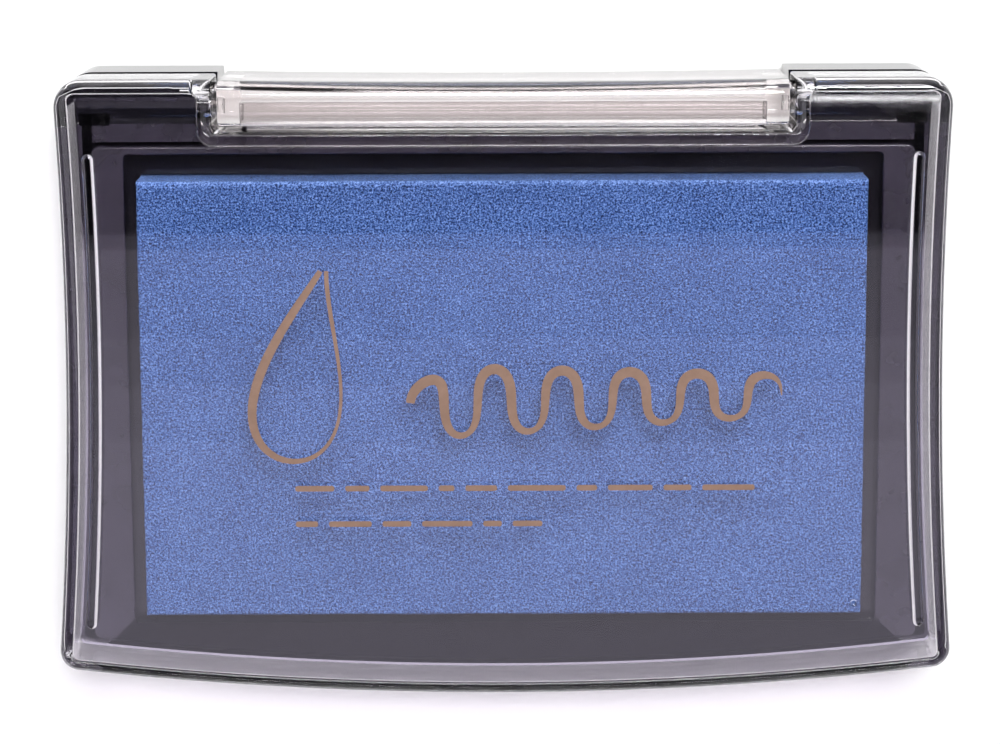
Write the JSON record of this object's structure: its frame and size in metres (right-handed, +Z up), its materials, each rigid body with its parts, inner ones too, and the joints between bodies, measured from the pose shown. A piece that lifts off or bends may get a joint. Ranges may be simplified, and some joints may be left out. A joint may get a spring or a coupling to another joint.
{
  "type": "hinged stamp pad",
  "caption": "Flat rectangular ink pad: raised foam pad in a black tray under a clear lid that folds right round on a clear link bar hinge.",
  "frame": {"origin": "centre of the footprint, on the surface that the pad stands on", "axes": "+X right along the long side, +Y to the rear where the hinge is, +Z up"},
  "size_m": [0.0966, 0.0668, 0.019],
  "materials": {
    "tray_plastic": "gloss black moulded styrene",
    "insert_plastic": "satin black moulded styrene",
    "clear_lid": "polished clear styrene",
    "clear_link": "clear moulded plastic with flow lines",
    "ink_foam": "fine open-cell foam soaked with pigment ink",
    "adhesive": "double-sided adhesive film",
    "label": "plain coated label stock"
  },
  "bodies": {
    "base": {"base_tray": "tray_plastic", "pad_insert": "insert_plastic", "pad_adhesive": "adhesive", "ink_foam": "ink_foam", "base_label": "label"},
    "link": {"hinge_link": "clear_link"},
    "lid": {"lid": "clear_lid"}
  },
  "joints": [
    {"name": "link_swing", "type": "hinge", "parent": "base", "child": "link", "pos_m": [0, 0.03065, 0.00465], "axis": [-1, 0, 0], "range_deg": [0, 180]},
    {"name": "lid_swing", "type": "hinge", "parent": "link", "child": "lid", "pos_m": [0, 0.03065, 0.0145], "axis": [-1, 0, 0], "range_deg": [0, 180]}
  ]
}
